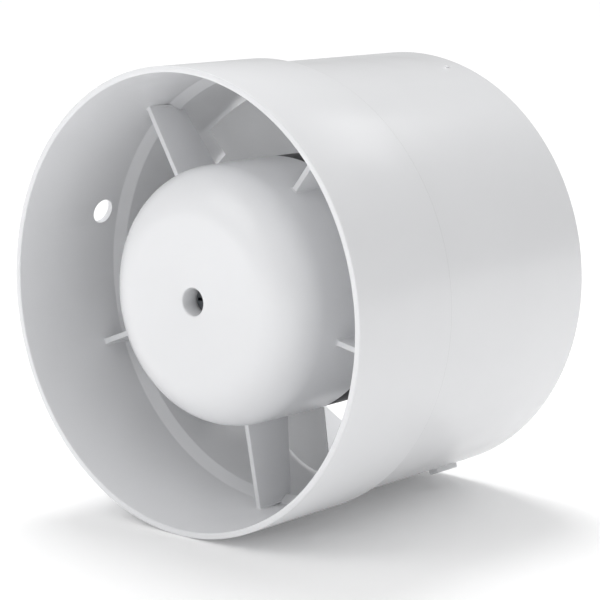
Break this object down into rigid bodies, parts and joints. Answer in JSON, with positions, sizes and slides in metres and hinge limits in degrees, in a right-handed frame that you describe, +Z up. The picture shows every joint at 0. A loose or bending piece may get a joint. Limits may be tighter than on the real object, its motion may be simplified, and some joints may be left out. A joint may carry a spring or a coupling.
{
  "type": "in-line duct extractor fan",
  "caption": "Short white round in-line duct fan: open tube with a domed motor hub on thin radial struts and a bladed impeller behind it, for bathroom extraction.",
  "frame": {"origin": "centre of the tube, on its axis and half way along its length", "axes": "+Y along the tube's axis from the front rim (motor hub side) to the rear rim, +Z up, +X to the right seen from the front"},
  "size_m": [0.1, 0.079, 0.1],
  "materials": {
    "casing_plastic": "glossy white moulding",
    "impeller_plastic": "satin off-white moulding",
    "cover_plastic": "matt black moulding",
    "grommet_rubber": "soft black rubber",
    "dark_screw": "dark plated steel",
    "zinc_screw": "bright zinc plate",
    "core_steel": "stacked electrical steel sheets",
    "shading_copper": "bare copper",
    "winding_copper": "enamelled copper wire",
    "bobbin_nylon": "natural nylon",
    "bracket_aluminium": "die cast",
    "bush_bronze": "sintered bronze, oily",
    "oil_felt": "wool felt",
    "spring_steel": "pressed spring steel",
    "block_nylon": "white nylon",
    "terminal_brass": "turned brass",
    "live_insulation": "brown wire insulation",
    "neutral_insulation": "blue wire insulation",
    "fuse_case": "drawn metal case",
    "shaft_steel": "ground steel",
    "cage_aluminium": "die cast cage",
    "washer_fibre": "fibre and nylon"
  },
  "bodies": {
    "casing": {"duct_casing": "casing_plastic", "cable_grommet": "grommet_rubber", "centre_screw": "dark_screw", "motor_rear_cover": "cover_plastic", "cover_screws": "zinc_screw", "stator_core": "core_steel", "shading_ring_1": "shading_copper", "bobbin_1": "bobbin_nylon", "winding_1": "winding_copper", "shading_ring_2": "shading_copper", "bobbin_2": "bobbin_nylon", "winding_2": "winding_copper", "shading_ring_3": "shading_copper", "bobbin_3": "bobbin_nylon", "winding_3": "winding_copper", "shading_ring_4": "shading_copper", "bobbin_4": "bobbin_nylon", "winding_4": "winding_copper", "front_bracket": "bracket_aluminium", "rear_bracket": "bracket_aluminium", "tie_screws": "zinc_screw", "front_bearing_bush": "bush_bronze", "front_oil_felt": "oil_felt", "front_bearing_retainer": "spring_steel", "rear_bearing_bush": "bush_bronze", "rear_oil_felt": "oil_felt", "rear_bearing_retainer": "spring_steel", "terminal_block": "block_nylon", "terminal_clamps": "terminal_brass", "terminal_screws": "zinc_screw", "block_screw": "zinc_screw", "live_lead": "live_insulation", "neutral_lead": "neutral_insulation", "thermal_fuse": "fuse_case"},
    "rotor": {"motor_shaft": "shaft_steel", "rotor_core": "core_steel", "rotor_cage": "cage_aluminium", "thrust_washers": "washer_fibre", "impeller": "impeller_plastic", "impeller_insert": "terminal_brass", "impeller_washer": "zinc_screw", "impeller_nut": "zinc_screw"}
  },
  "joints": [
    {"name": "fan_spin", "type": "hinge", "parent": "casing", "child": "rotor", "pos_m": [0, 0, 0], "axis": [0, -1, 0], "continuous": true}
  ]
}
